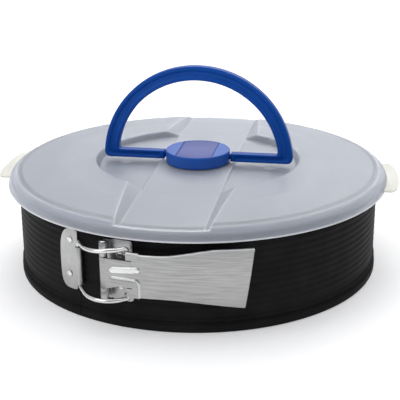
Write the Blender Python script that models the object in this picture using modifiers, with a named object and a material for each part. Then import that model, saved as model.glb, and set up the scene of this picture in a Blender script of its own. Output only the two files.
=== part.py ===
"""Springform pan, 26 cm, with its clamp-on lever latch and a carrying lid.

Frame: origin at the middle of the base plate's underside, +Z up. +X runs along
the pivot axis of the lid's handle, and the latch faces -Y.
Azimuths are measured about Z from -Y towards +X.
"""

import math

import bmesh
import bpy
from mathutils import Matrix, Vector

MM = 0.001
GAP = 0.3 * MM                 # clearance between neighbouring pieces

# Band: one strip of sheet, open at the seam and held by the latch
SHEET = 0.8 * MM
WALL_R = 129.9 * MM            # outer radius of the wall
RING_H = 66.5 * MM
BEAD_R = 1.3 * MM              # rolled top rim
CHANNEL_R = 131.1 * MM         # outermost radius, at the bottom channel
SEAM_AZ = math.radians(-26.3)
FLAP_AZ = math.radians(8.0)    # how far the inner flap reaches past the seam
FLAP_LOW, FLAP_HIGH = 9.5 * MM, 61.5 * MM

# Base plate
BASE_R = 129.7 * MM
BASE_FLAT_R = 120.5 * MM

# Latch
LATCH_Z = 39.3 * MM            # mid height of keeper, bracket and pin
BLADE_Z = 40.0 * MM            # mid height of lever blade and wire
PIVOT_AZ, PIVOT_R = math.radians(-15.7), 136.4 * MM
KEEP_AZ, KEEP_R = math.radians(-25.1), 132.6 * MM
WIRE_AZ, WIRE_R = math.radians(-8.7), 136.5 * MM
WIRE = 1.4 * MM                # radius of the wire
PIN = 1.4 * MM                 # radius of the hinge pin
KNUCKLE = 2.6 * MM             # outer radius of the hinge knuckles
LEVER_T = 1.0 * MM
LEVER_END_AZ, LEVER_END_R = math.radians(22.7), 142.4 * MM
TONGUE_HALF = 10.4 * MM
NECK_HALF = 14.6 * MM
PADDLE_HALF = 19.8 * MM
LEAN = 2.2 * MM                # how far the blade's end slopes, at its upper corner
STEP_AT = 13.5 * MM            # along the blade, where the tongue widens into the neck
EAR_SIZE = (5.5 * MM, 4.6 * MM, 1.0 * MM)
ARM_HALF = 17.0 * MM           # the wire's arms run this far above and below BLADE_Z
WIRE_BEND = 2.0 * MM
PLATE_IN = WALL_R + GAP        # the riveted plates, from here ...
PLATE_OUT = PLATE_IN + 0.9 * MM    # ... to here
KEEPER_HALF = 22.0 * MM
KEEPER_END_AZ = math.radians(-33.4)
KEEPER_RIVET_AZ = math.radians(-28.9)
CURL_HALF, CURL_T = 14.0 * MM, 0.6 * MM
BRACKET_HALF = 21.0 * MM
BRACKET_END_AZ = math.radians(-7.4)
BRACKET_RIVET_AZ = math.radians(-12.0)
KNUCKLE_NEAR, KNUCKLE_FAR = TONGUE_HALF + GAP, 19.9 * MM
PIN_HEAD = 0.8 * MM
RIVET_SHANK, RIVET_HEAD, HEAD_T = 1.5 * MM, 2.8 * MM, 0.9 * MM
BORE_HALF = 30.0 * MM          # half length of the cutters that clear the pin and the wire

# Lid
LID_T = 1.0 * MM
STRAP_HALF = 26.5 * MM         # half width of the flat strap across the lid
STRAP_Z = 72.8 * MM            # its height at the middle
STRAP_DROP = 0.156             # its fall, per metre squared of distance from the middle
STRAP_FOOT = 28.0 * MM         # half width at its foot, inside the recess
STRAP_SHOULDER = 34.0 * MM     # half width where the trough meets the lid's top
STRAP_END_R = 134.1 * MM
LID_PROFILE = [(74.0, 76.8), (100.0, 76.1), (127.0, 73.3), (131.2, 72.2), (134.0, 70.5),
               (136.0, 68.4), (137.2, 63.55)]   # radius and height, mm
RECESS_R, RECESS_FLOOR_R = 74.0 * MM, 71.5 * MM
RECESS_Z = 71.4 * MM
LID_HOLE_R = 8.0 * MM
TAB_R, TAB_ROOT_R = 145.3 * MM, 135.8 * MM
TAB_AZ = math.radians(15.2)    # half the angle that a tab spans
TAB_Z = 65.4 * MM

# Hub and handle
HUB_R, HUB_TOP = 23.3 * MM, 82.0 * MM
CAP_HALF = 12.9 * MM
AXIS_Z = 77.3 * MM             # height of the handle's pivot axis
BOW_Z, BOW_OUT, BOW_IN = 73.9 * MM, 69.6 * MM, 59.4 * MM
HANDLE_T = 7.0 * MM
BAR_HALF = 3.0 * MM
BAR_END = 24.5 * MM
TRUNNION = 2.0 * MM

STEPS = 60                     # facets round a full turn
LID_STEPS = 48


# ---------------------------------------------------------------- helpers

def clear_scene():
    for obj in list(bpy.data.objects):
        bpy.data.objects.remove(obj, do_unlink=True)


def new_collection(name):
    collection = bpy.data.collections.new(name)
    bpy.context.scene.collection.children.link(collection)
    return collection


clear_scene()
PARTS = new_collection("springform_pan")
CUTTERS = new_collection("cutters")


def material(name, color, roughness, metallic, alpha=1.0):
    mat = bpy.data.materials.new(name)
    mat.use_nodes = True
    shader = mat.node_tree.nodes["Principled BSDF"]
    shader.inputs["Base Color"].default_value = (*color, 1.0)
    shader.inputs["Roughness"].default_value = roughness
    shader.inputs["Metallic"].default_value = metallic
    shader.inputs["Alpha"].default_value = alpha
    return mat


def polar(radius, azimuth, z=0.0):
    return Vector((radius * math.sin(azimuth), -radius * math.cos(azimuth), z))


def outward(azimuth):
    return polar(1.0, azimuth)


def along(azimuth):
    return Vector((math.cos(azimuth), math.sin(azimuth), 0.0))


def object_from(bm, name, helper=False):
    bmesh.ops.recalc_face_normals(bm, faces=bm.faces)
    mesh = bpy.data.meshes.new(name)
    bm.to_mesh(mesh)
    bm.free()
    obj = bpy.data.objects.new(name, mesh)
    (CUTTERS if helper else PARTS).objects.link(obj)
    if helper:
        obj.hide_render = True
        obj.display_type = "WIRE"
    return obj


def combine(obj, helper, operation):
    """Boolean the helper into the object: DIFFERENCE, UNION or INTERSECT."""
    boolean = obj.modifiers.new(operation.title(), "BOOLEAN")
    boolean.object = helper
    boolean.operation = operation
    boolean.solver = "EXACT"


def turned(name, outline, helper=False, steps=STEPS):
    """Turn a closed outline of (radius, z) about Z; it runs down the outer side."""
    bm = bmesh.new()
    verts = [bm.verts.new((radius, 0.0, z)) for radius, z in outline]
    for first, second in zip(verts, verts[1:] + verts[:1]):
        on_axis = first.co.x < 1e-9 and second.co.x < 1e-9
        if not on_axis:
            bm.edges.new((first, second))
    mesh = bpy.data.meshes.new(name)
    bm.to_mesh(mesh)
    bm.free()
    obj = bpy.data.objects.new(name, mesh)
    (CUTTERS if helper else PARTS).objects.link(obj)
    if helper:
        obj.hide_render = True
        obj.display_type = "WIRE"
    screw = obj.modifiers.new("Turn", "SCREW")
    screw.axis = "Z"
    screw.angle = math.tau
    screw.steps = screw.render_steps = steps
    screw.use_merge_vertices = True
    screw.merge_threshold = 1e-6
    return obj


def block(name, size, matrix, helper=True):
    bm = bmesh.new()
    bmesh.ops.create_cube(bm, size=1.0)
    bmesh.ops.scale(bm, vec=size, verts=bm.verts)
    bmesh.ops.transform(bm, matrix=matrix, verts=bm.verts)
    return object_from(bm, name, helper)


def rod(name, radius, start, end, helper=True, segments=20):
    """A round rod between two points."""
    start, end = Vector(start), Vector(end)
    run = end - start
    turn = run.to_track_quat("Z", "Y").to_matrix().to_4x4()
    bm = bmesh.new()
    bmesh.ops.create_cone(bm, cap_ends=True, segments=segments, radius1=radius,
                          radius2=radius, depth=run.length)
    bmesh.ops.transform(bm, matrix=Matrix.Translation((start + end) / 2) @ turn,
                        verts=bm.verts)
    return object_from(bm, name, helper)


def arc(center, radius, start_deg, end_deg, count):
    """Points on an arc, angles counter-clockwise from the first axis."""
    points = []
    for i in range(count + 1):
        angle = math.radians(start_deg + (end_deg - start_deg) * i / count)
        points.append((center[0] + radius * math.cos(angle),
                       center[1] + radius * math.sin(angle)))
    return points


def slab(name, outline, thickness, matrix, helper=True):
    """A flat outline extruded to a thickness, made a mesh and welded."""
    curve = bpy.data.curves.new(name, "CURVE")
    curve.dimensions = "2D"
    curve.fill_mode = "BOTH"
    curve.extrude = thickness / 2
    spline = curve.splines.new("POLY")
    spline.points.add(len(outline) - 1)
    for point, (u, v) in zip(spline.points, outline):
        point.co = (u, v, 0.0, 1.0)
    spline.use_cyclic_u = True
    return meshed(name, curve, matrix, helper)


def meshed(name, curve, matrix, helper):
    source = bpy.data.objects.new(name + "_curve", curve)
    bpy.context.scene.collection.objects.link(source)
    bpy.context.view_layer.update()
    depsgraph = bpy.context.evaluated_depsgraph_get()
    mesh = bpy.data.meshes.new_from_object(source.evaluated_get(depsgraph))
    bpy.data.objects.remove(source, do_unlink=True)
    bm = bmesh.new()
    bm.from_mesh(mesh)
    bpy.data.meshes.remove(mesh)
    bmesh.ops.remove_doubles(bm, verts=bm.verts, dist=1e-6)
    bmesh.ops.transform(bm, matrix=matrix, verts=bm.verts)
    return object_from(bm, name, helper)


def frame_at(azimuth, radius, z):
    """Local X along the wall, local Y up, local Z outward."""
    matrix = Matrix((along(azimuth), Vector((0, 0, 1)), outward(azimuth))).transposed()
    return Matrix.Translation(polar(radius, azimuth, z)) @ matrix.to_4x4()


def sector(name, r_in, r_out, z_low, z_high, az_from, az_to, helper=True, count=12):
    """A piece of a ring between two azimuths."""
    outline = []
    for radius, order in ((r_out, 1), (r_in, -1)):
        azimuths = [az_from + (az_to - az_from) * i / count for i in range(count + 1)]
        outline += [polar(radius, azimuth)[:2] for azimuth in azimuths[::order]]
    middle = Matrix.Translation((0, 0, (z_low + z_high) / 2))
    return slab(name, outline, z_high - z_low, middle, helper)


def pivot(name, point, parent=None):
    """An empty on a joint's axis, which carries the pieces of one moving body."""
    empty = bpy.data.objects.new(name, None)
    PARTS.objects.link(empty)
    empty.location = point
    empty["place"] = list(point)
    if parent:
        carry(empty, parent)
    return empty


def carry(obj, parent):
    """Parent the object to a pivot and leave it where it is."""
    obj.parent = parent
    obj.matrix_parent_inverse = Matrix.Translation(-Vector(parent["place"]))


def dress(obj, mat, parent=None):
    if parent:
        carry(obj, parent)
    obj.data.materials.clear()
    obj.data.materials.append(mat)
    obj.data.shade_smooth()
    obj.data.set_sharp_from_angle(angle=math.radians(35))


BLACK = material("nonstick_black", (0.012, 0.012, 0.013), 0.38, 0.3)
STEEL = material("plated_steel", (0.62, 0.62, 0.61), 0.35, 1.0)
WIRE_STEEL = material("bright_wire", (0.72, 0.72, 0.71), 0.2, 1.0)
MILKY = material("milky_plastic", (0.66, 0.68, 0.72), 0.45, 0.0, 0.75)
BLUE = material("blue_plastic", (0.012, 0.05, 0.38), 0.35, 0.0)

# Where the moving bodies turn or slide
HINGE_POINT = polar(-CHANNEL_R - 0.4 * MM, SEAM_AZ)
RING_LEFT = pivot("ring_left_pivot", HINGE_POINT)
RING_RIGHT = pivot("ring_right_pivot", HINGE_POINT)
LEVER = pivot("lever_pivot", polar(PIVOT_R, PIVOT_AZ, LATCH_Z), RING_RIGHT)
BAIL = pivot("bail_pivot", polar(KEEP_R, KEEP_AZ, BLADE_Z), RING_LEFT)
LID = pivot("lid_slide", (0.0, 0.0, 0.0))
HANDLE = pivot("handle_pivot", (0.0, 0.0, AXIS_Z), LID)


# ---------------------------------------------------------------- base plate

def make_base_plate():
    lift = SHEET / 2 + 2 * GAP
    outline = [
        (0.0, SHEET), (BASE_FLAT_R, SHEET), (BASE_FLAT_R + 2.5 * MM, lift + SHEET),
        (BASE_R - SHEET, lift + SHEET), (BASE_R - SHEET, 3.6 * MM),
        (BASE_R, 3.6 * MM), (BASE_R, lift), (BASE_FLAT_R + 2.8 * MM, lift),
        (BASE_FLAT_R + 0.3 * MM, 0.0), (0.0, 0.0),
    ]
    base = turned("base_plate", outline)
    dress(base, BLACK)


# ---------------------------------------------------------------- the band

def ring_outline():
    wall_in = WALL_R - SHEET
    bead = (WALL_R - 0.2 * MM, RING_H - BEAD_R)
    outline = arc(bead, BEAD_R, 242.5, -81.2, 9)
    outline += [
        (WALL_R, 9.2 * MM), (WALL_R + 0.5 * MM, 8.2 * MM), (WALL_R, 7.3 * MM),
        (WALL_R - 0.6 * MM, 6.7 * MM), (WALL_R, 5.9 * MM),
        (CHANNEL_R, 4.5 * MM), (CHANNEL_R, 0.7 * MM), (CHANNEL_R - 0.7 * MM, 0.0),
        (WALL_R - 2.7 * MM, 0.0), (WALL_R - 2.7 * MM, 0.7 * MM),
        (CHANNEL_R - SHEET, 0.7 * MM), (CHANNEL_R - SHEET, 4.2 * MM),
        (wall_in - 0.6 * MM, 6.7 * MM), (wall_in, 8.2 * MM),
    ]
    return outline


KEEPER_RIVETS = [(KEEPER_RIVET_AZ, LATCH_Z + 12.4 * MM), (KEEPER_RIVET_AZ, LATCH_Z - 12.4 * MM)]
BRACKET_RIVETS = [(BRACKET_RIVET_AZ, LATCH_Z + 11.0 * MM),
                  (BRACKET_RIVET_AZ, LATCH_Z - 11.0 * MM)]


def rivet_holes(obj, places, label):
    for i, (azimuth, z) in enumerate(places):
        hole = rod(f"{label}_hole_{i}", RIVET_SHANK + GAP, polar(WALL_R - 5 * MM, azimuth, z),
                   polar(WALL_R + 5 * MM, azimuth, z), segments=16)
        combine(obj, hole, "DIFFERENCE")


def make_ring_half(name, side, places, parent):
    """side is +1 for the half on the lever's side of the seam, -1 for the other."""
    half = turned(name, ring_outline())
    wide = 3 * WALL_R
    shift = along(SEAM_AZ) * side * (GAP / 2 - wide / 2)
    turn = Matrix.Rotation(SEAM_AZ, 4, "Z")
    other = block(name + "_cut", (wide, wide, wide), Matrix.Translation(shift) @ turn)
    combine(half, other, "DIFFERENCE")
    if side > 0:
        inner = WALL_R - SHEET
        edge = SEAM_AZ + GAP / WALL_R
        flap = sector("seam_flap", inner - 1.2 * MM, inner - 0.5 * MM, FLAP_LOW, FLAP_HIGH,
                      SEAM_AZ - FLAP_AZ, edge + math.radians(3.0))
        root = sector("seam_root", inner - 0.7 * MM, inner + 0.3 * MM, FLAP_LOW, FLAP_HIGH,
                      edge + math.radians(0.4), edge + math.radians(2.8))
        for i, (azimuth, z) in enumerate(KEEPER_RIVETS):
            reach = RIVET_HEAD + 3 * GAP
            slot = sector(f"flap_slot_{i}", inner - 2 * MM, inner, z - reach, z + reach,
                          SEAM_AZ - 1.2 * FLAP_AZ, azimuth + reach / inner)
            combine(flap, slot, "DIFFERENCE")
        combine(half, flap, "UNION")
        combine(half, root, "UNION")
    rivet_holes(half, places, name)
    dress(half, BLACK, parent)


def make_rivet(name, azimuth, z, parent):
    """A solid rivet through a latch plate and the wall."""
    seat = PLATE_OUT + GAP
    inner_face = WALL_R - SHEET - 2 * GAP
    profile = [
        (0.0, seat + HEAD_T), (RIVET_HEAD * 0.6, seat + HEAD_T),
        (RIVET_HEAD, seat + HEAD_T * 0.35), (RIVET_HEAD, seat),
        (RIVET_SHANK, seat), (RIVET_SHANK, inner_face),
        (RIVET_HEAD, inner_face), (RIVET_HEAD * 0.7, inner_face - HEAD_T * 0.6),
        (0.0, inner_face - HEAD_T * 0.6),
    ]
    rivet = turned(name, profile, steps=16)
    rivet.matrix_basis = frame_at(azimuth, 0.0, z)
    dress(rivet, STEEL, parent)


# ---------------------------------------------------------------- latch

def make_keeper_plate():
    """Plate riveted beside the seam, its edge curled round the wire."""
    half = KEEPER_HALF
    plate = sector("keeper_plate", PLATE_IN, PLATE_OUT, LATCH_Z - half, LATCH_Z + half,
                   KEEPER_END_AZ, KEEP_AZ, helper=False)
    edge = [((3.0 + 12.4 * u) * MM, half * v) for u, v in arc((0, 0), 1.0, 90, 270, 20)]
    bow = slab("keeper_outline", [(13 * MM, -half), (13 * MM, half)] + edge, 20 * MM,
               frame_at(KEEPER_RIVET_AZ, WALL_R, LATCH_Z))
    combine(plate, bow, "INTERSECT")
    curl = rod("keeper_curl", WIRE + GAP + CURL_T, polar(KEEP_R, KEEP_AZ, LATCH_Z - CURL_HALF),
               polar(KEEP_R, KEEP_AZ, LATCH_Z + CURL_HALF))
    combine(plate, curl, "UNION")
    bore = rod("keeper_bore", WIRE + GAP, polar(KEEP_R, KEEP_AZ, LATCH_Z - BORE_HALF),
               polar(KEEP_R, KEEP_AZ, LATCH_Z + BORE_HALF))
    combine(plate, bore, "DIFFERENCE")
    rivet_holes(plate, KEEPER_RIVETS, "keeper")
    dress(plate, STEEL, RING_LEFT)


def make_bracket():
    """Plate riveted under the lever, with two knuckles for the hinge pin."""
    left = PIVOT_AZ - KNUCKLE / PIVOT_R
    plate = sector("latch_bracket", PLATE_IN, PLATE_OUT, LATCH_Z - BRACKET_HALF,
                   LATCH_Z + BRACKET_HALF, left, BRACKET_END_AZ, helper=False)
    axis = polar(PIVOT_R, PIVOT_AZ)
    up = Vector((0, 0, 1))
    leg_t = PLATE_OUT - PLATE_IN
    for i, side in enumerate((1, -1)):
        low = axis + up * (LATCH_Z + side * KNUCKLE_NEAR)
        high = axis + up * (LATCH_Z + side * KNUCKLE_FAR)
        knuckle = rod(f"bracket_knuckle_{i}", KNUCKLE, low, high)
        combine(plate, knuckle, "UNION")
        leg_size = (leg_t, PIVOT_R - PLATE_IN - 0.1 * MM, KNUCKLE_FAR - KNUCKLE_NEAR)
        middle = (low + high) / 2 - along(PIVOT_AZ) * (KNUCKLE - leg_t / 2)
        middle -= outward(PIVOT_AZ) * (leg_size[1] / 2)
        leg = block(f"bracket_leg_{i}", leg_size,
                    Matrix.Translation(middle) @ Matrix.Rotation(PIVOT_AZ, 4, "Z"))
        combine(plate, leg, "UNION")
    bore = rod("bracket_bore", PIN + GAP, axis + up * (LATCH_Z - BORE_HALF),
               axis + up * (LATCH_Z + BORE_HALF))
    combine(plate, bore, "DIFFERENCE")
    rivet_holes(plate, BRACKET_RIVETS, "bracket")
    dress(plate, STEEL, RING_RIGHT)


def make_hinge_pin():
    end = KNUCKLE_FAR + GAP
    tip = end + PIN_HEAD
    wide, ease = PIN + 0.7 * MM, 0.4 * MM
    outline = [(0.0, tip), (wide - ease, tip), (wide, tip - ease), (wide, end), (PIN, end),
               (PIN, -end), (wide, -end), (wide, ease - tip), (wide - ease, -tip), (0.0, -tip)]
    pin = turned("hinge_pin", outline, steps=20)
    pin.location = polar(PIVOT_R, PIVOT_AZ, LATCH_Z)
    dress(pin, STEEL, RING_RIGHT)


def blade_circle():
    """Centre and radius of the lever blade's middle surface, tangent at its knuckle."""
    start = polar(PIVOT_R + KNUCKLE - LEVER_T / 2, PIVOT_AZ)
    end = polar(LEVER_END_R, LEVER_END_AZ)
    normal = outward(PIVOT_AZ)
    radius = (end - start).length_squared / (2 * (start - end).dot(normal))
    return start - normal * radius, radius, (end - start).length


def smooth(value):
    value = min(max(value, 0.0), 1.0)
    return value * value * (3 - 2 * value)


def make_lever():
    """Blade hugging the band: a narrow tongue, two ears and a flared paddle."""
    center, radius, chord = blade_circle()
    length = 2 * radius * math.asin(chord / (2 * radius))
    stations = [0.0, 0.45, 0.9, 1.0, 1.6, 2.2, 2.6, 3.2, 3.9, 4.6, 5.3, 6.0, 6.7]
    stations = [station * STEP_AT for station in stations] + [length]
    rows = 4
    bm = bmesh.new()
    grid = bmesh.ops.create_grid(bm, x_segments=len(stations) - 1, y_segments=rows, size=0.5)
    for vert in grid["verts"]:
        column = round((vert.co.x + 0.5) * (len(stations) - 1))
        share = vert.co.y * 2
        s = stations[column]
        tongue = s < STEP_AT * 0.95
        flare = smooth((s - 0.3 * length) / (0.45 * length))
        half = TONGUE_HALF if tongue else NECK_HALF + (PADDLE_HALF - NECK_HALF) * flare
        middle = LATCH_Z if tongue else BLADE_Z
        s += LEAN * share * smooth((s - 0.6 * length) / (0.4 * length))
        angle = PIVOT_AZ + s / radius
        vert.co = center + polar(radius, angle, middle + share * half)
    lever = object_from(bm, "latch_lever")
    thick = lever.modifiers.new("Sheet", "SOLIDIFY")
    thick.thickness = LEVER_T
    thick.offset = 0.0
    axis = polar(PIVOT_R, PIVOT_AZ, LATCH_Z)
    up = Vector((0, 0, 1))
    knuckle = rod("lever_knuckle", KNUCKLE, axis - up * TONGUE_HALF, axis + up * TONGUE_HALF)
    combine(lever, knuckle, "UNION")
    ear_z = NECK_HALF - EAR_SIZE[2] / 2
    for i, side in enumerate((1, -1)):
        middle = polar(WIRE_R + 0.3 * MM, WIRE_AZ, BLADE_Z + side * ear_z)
        ear = block(f"lever_ear_{i}", EAR_SIZE,
                    Matrix.Translation(middle) @ Matrix.Rotation(WIRE_AZ, 4, "Z"))
        combine(lever, ear, "UNION")
    bore = rod("lever_bore", PIN + GAP, axis - up * BORE_HALF, axis + up * BORE_HALF)
    combine(lever, bore, "DIFFERENCE")
    dress(lever, STEEL, LEVER)


def bail_route():
    """The wire: one run through the keeper's curl and two bowed arms to the ears."""
    plan = [(KEEP_R, KEEP_AZ), (137.6 * MM, math.radians(-22.3)),
            (142.2 * MM, math.radians(-19.6)), (145.0 * MM, math.radians(-17.0)),
            (145.6 * MM, math.radians(-14.6)), (144.6 * MM, math.radians(-12.6)),
            (141.6 * MM, math.radians(-10.8)), (138.6 * MM, math.radians(-9.6)),
            (WIRE_R, WIRE_AZ)]
    arm = [polar(radius, azimuth, ARM_HALF) for radius, azimuth in plan]
    first, last = arm[0], arm[-1]
    into = (arm[1] - first).normalized()
    out = (arm[-2] - last).normalized()
    down = Vector((0, 0, -1))
    bend, cut = WIRE_BEND, WIRE_BEND * (1 - math.sqrt(0.5))
    head = [first + down * bend, first + (down + into) * cut, first + into * bend]
    tail = [last + out * bend, last + (out + down) * cut, last + down * bend]
    stop = Vector((last.x, last.y, NECK_HALF + GAP))
    upper = head + arm[1:-1] + tail + [stop]
    lower = [Vector((p.x, p.y, -p.z)) for p in upper]
    lift = Vector((0, 0, BLADE_Z))
    return [p + lift for p in upper[::-1]] + [p + lift for p in lower]


def make_wire_bail():
    curve = bpy.data.curves.new("wire_bail", "CURVE")
    curve.dimensions = "3D"
    curve.bevel_depth = WIRE
    curve.bevel_resolution = 2
    curve.use_fill_caps = True
    route = bail_route()
    spline = curve.splines.new("POLY")
    spline.points.add(len(route) - 1)
    for point, place in zip(spline.points, route):
        point.co = (*place, 1.0)
    bail = meshed("wire_bail", curve, Matrix.Identity(4), helper=False)
    dress(bail, WIRE_STEEL, BAIL)


# ---------------------------------------------------------------- lid

def strap_height(y):
    return STRAP_Z - STRAP_DROP * y * y


def dome_height(radius):
    """Height of the lid's top surface, without the strap and the recess."""
    for (r0, z0), (r1, z1) in zip(LID_PROFILE, LID_PROFILE[1:]):
        if radius <= r1 * MM + 1e-7:
            share = max((radius / MM - r0) / (r1 - r0), 0.0)
            return (z0 + (z1 - z0) * share) * MM
    return LID_PROFILE[-1][1] * MM


def lid_height(x, y):
    radius = math.hypot(x, y)
    dome = dome_height(radius)
    if radius > STRAP_END_R:
        return dome
    floor = strap_height(y)
    if abs(x) <= STRAP_HALF + 1e-6:
        return floor
    side = min((abs(x) - STRAP_HALF) / (STRAP_SHOULDER - STRAP_HALF), 1.0)
    wall = min(max((radius - RECESS_FLOOR_R) / (RECESS_R - RECESS_FLOOR_R), 0.0), 1.0)
    return min(floor + (dome - floor) * side, RECESS_Z + (dome - RECESS_Z) * wall)


def lid_grid(rings, steps, name):
    """The lid's top surface as rings of vertices, cut along the strap's edges."""
    bm = bmesh.new()
    loops = []
    for radius in rings:
        loop = [bm.verts.new(polar(radius, math.tau * i / steps)) for i in range(steps)]
        loops.append(loop)
    for inner, outer in zip(loops, loops[1:]):
        for i in range(steps):
            j = (i + 1) % steps
            bm.faces.new((inner[i], outer[i], outer[j], inner[j]))
    for offset in (STRAP_HALF, STRAP_FOOT, STRAP_SHOULDER):
        for side in (1, -1):
            geometry = bm.verts[:] + bm.edges[:] + bm.faces[:]
            bmesh.ops.bisect_plane(bm, geom=geometry, dist=1e-5,
                                   plane_co=(side * offset, 0, 0), plane_no=(1, 0, 0))
    for vert in bm.verts:
        vert.co.z = lid_height(vert.co.x, vert.co.y)
    return object_from(bm, name)


def tab_outline(side):
    """A lip outside the skirt: a superellipse in azimuth and radius."""
    roundness = 2 / 5
    outline = []
    for i in range(21):
        angle = math.pi * i / 20
        across = math.copysign(abs(math.cos(angle)) ** roundness, math.cos(angle))
        radius = TAB_ROOT_R + (TAB_R - TAB_ROOT_R) * math.sin(angle) ** roundness
        outline.append(polar(radius, side * math.pi / 2 + across * TAB_AZ)[:2])
    return outline + [polar(TAB_ROOT_R, side * math.pi / 2 - TAB_AZ * u)[:2]
                      for u in (0.67, 0.33, 0.0, -0.33, -0.67)]


def make_lid():
    rings = [LID_HOLE_R, RECESS_FLOOR_R] + [radius * MM for radius, _ in LID_PROFILE]
    lid = lid_grid(rings, LID_STEPS, "lid")
    thick = lid.modifiers.new("Wall", "SOLIDIFY")
    thick.thickness = LID_T
    thick.offset = -1.0
    thick.use_even_offset = True
    locator = turned("lid_locator", [
        (130.0 * MM, 70.0 * MM), (130.0 * MM, RING_H + GAP), (127.9 * MM, RING_H + GAP),
        (127.9 * MM, 63.8 * MM), (126.7 * MM, 63.8 * MM), (126.7 * MM, 70.0 * MM),
    ], helper=True, steps=LID_STEPS)
    combine(lid, locator, "UNION")
    for i, side in enumerate((1, -1)):
        tab = slab(f"lid_tab_{i}", tab_outline(side), 1.3 * MM,
                   Matrix.Translation((0, 0, TAB_Z)))
        combine(lid, tab, "UNION")
    dress(lid, MILKY, LID)


# ---------------------------------------------------------------- hub and handle

HUB_BOTTOM = STRAP_Z + GAP
SCREW_R = 2.0 * MM
SCREW_HEAD_Z = 76.0 * MM
RETAINER_TOP = STRAP_Z - LID_T - 2 * GAP
CAP_FLOOR = 79.4 * MM
CAP_GAP = 0.4 * MM


def make_hub_body():
    ease = 0.5 * MM
    outline = [(SCREW_R + GAP, SCREW_HEAD_Z), (4.4 * MM, SCREW_HEAD_Z), (4.4 * MM, HUB_TOP),
               (HUB_R - ease, HUB_TOP), (HUB_R, HUB_TOP - ease), (HUB_R, HUB_BOTTOM + ease),
               (HUB_R - ease, HUB_BOTTOM), (LID_HOLE_R - GAP, HUB_BOTTOM),
               (LID_HOLE_R - GAP, RETAINER_TOP + GAP), (SCREW_R + GAP, RETAINER_TOP + GAP)]
    hub = turned("hub_body", outline, steps=48)
    slot = block("hub_slot", (2 * (CAP_HALF + CAP_GAP), 0.1, 0.01),
                 Matrix.Translation((0, 0, CAP_FLOOR + 5 * MM)))
    combine(hub, slot, "DIFFERENCE")
    for i, side in enumerate((1, -1)):
        bore = rod(f"hub_bore_{i}", TRUNNION + GAP, (side * 17.4 * MM, 0, AXIS_Z),
                   (side * 30 * MM, 0, AXIS_Z))
        combine(hub, bore, "DIFFERENCE")
    dress(hub, BLUE, LID)


def make_hub_cap():
    ease = 0.5 * MM
    cap = turned("hub_cap", [
        (0.0, HUB_TOP), (HUB_R - ease, HUB_TOP), (HUB_R, HUB_TOP - ease),
        (HUB_R, CAP_FLOOR + GAP), (0.0, CAP_FLOOR + GAP)], steps=48)
    strip = block("cap_strip", (2 * CAP_HALF, 0.1, 0.02), Matrix.Translation((0, 0, HUB_TOP)))
    combine(cap, strip, "INTERSECT")
    dress(cap, BLUE, LID)


def make_hub_screw():
    head = SCREW_HEAD_Z + GAP
    screw = turned("hub_screw", [
        (0.0, head + 2.4 * MM), (3.2 * MM, head + 2.4 * MM), (4.0 * MM, head + 1.6 * MM),
        (4.0 * MM, head), (SCREW_R, head), (SCREW_R, 68.4 * MM), (0.0, 68.4 * MM)], steps=24)
    dress(screw, STEEL, LID)


def make_hub_retainer():
    retainer = turned("hub_retainer", [
        (SCREW_R + GAP, RETAINER_TOP), (14.0 * MM, RETAINER_TOP),
        (14.0 * MM, RETAINER_TOP - 1.6 * MM), (12.0 * MM, RETAINER_TOP - 2.2 * MM),
        (SCREW_R + GAP, RETAINER_TOP - 2.2 * MM)], steps=36)
    dress(retainer, BLUE, LID)


def handle_outline():
    """D-shaped bow with its two bars, in the plane of the pivot axis and Z."""
    low, high = AXIS_Z - BAR_HALF, AXIS_Z + BAR_HALF
    corner = 5.0 * MM
    corner_x = 63.6 * MM
    start = math.degrees(math.asin((low + corner - BOW_Z) / BOW_OUT))
    inner = math.degrees(math.asin((high - BOW_Z) / BOW_IN))
    right = [(BAR_END, high), (BAR_END, low)]
    right += arc((corner_x, low + corner), corner, -90, -15, 4)
    outer = arc((0, BOW_Z), BOW_OUT, start, 180 - start, 40)
    left = [(-u, v) for u, v in right[::-1]]
    return right + outer + left + arc((0, BOW_Z), BOW_IN, 180 - inner, inner, 36)


def make_handle():
    stand = Matrix.Rotation(math.radians(90), 4, "X")
    handle = slab("carry_handle", handle_outline(), HANDLE_T, stand, helper=False)
    ease = handle.modifiers.new("Ease", "BEVEL")
    ease.width = 1.0 * MM
    ease.segments = 1
    ease.limit_method = "ANGLE"
    ease.angle_limit = math.radians(60)
    for i, side in enumerate((1, -1)):
        trunnion = rod(f"handle_trunnion_{i}", TRUNNION, (side * 17.9 * MM, 0, AXIS_Z),
                       (side * (BAR_END + 4 * MM), 0, AXIS_Z))
        combine(handle, trunnion, "UNION")
    dress(handle, BLUE, HANDLE)


make_base_plate()
make_ring_half("ring_left_half", -1, KEEPER_RIVETS, RING_LEFT)
make_ring_half("ring_right_half", 1, BRACKET_RIVETS, RING_RIGHT)
make_keeper_plate()
make_bracket()
for label, (azimuth, z) in zip(("keeper_rivet_upper", "keeper_rivet_lower"), KEEPER_RIVETS):
    make_rivet(label, azimuth, z, RING_LEFT)
for label, (azimuth, z) in zip(("bracket_rivet_upper", "bracket_rivet_lower"), BRACKET_RIVETS):
    make_rivet(label, azimuth, z, RING_RIGHT)
make_hinge_pin()
make_lever()
make_wire_bail()
make_lid()
make_hub_body()
make_hub_cap()
make_hub_screw()
make_hub_retainer()
make_handle()
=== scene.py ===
"""Looks of the springform pan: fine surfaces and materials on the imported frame.

Frame: origin at the middle of the base plate's underside, +Z up, the latch faces -Y.
Azimuths are measured about Z from -Y towards +X. Lengths are in metres.
"""

from math import acos, asin, copysign, cos, degrees, hypot, pi, radians, sin, sqrt, tau

import bmesh
import bpy
from mathutils import Matrix, Vector


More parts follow.
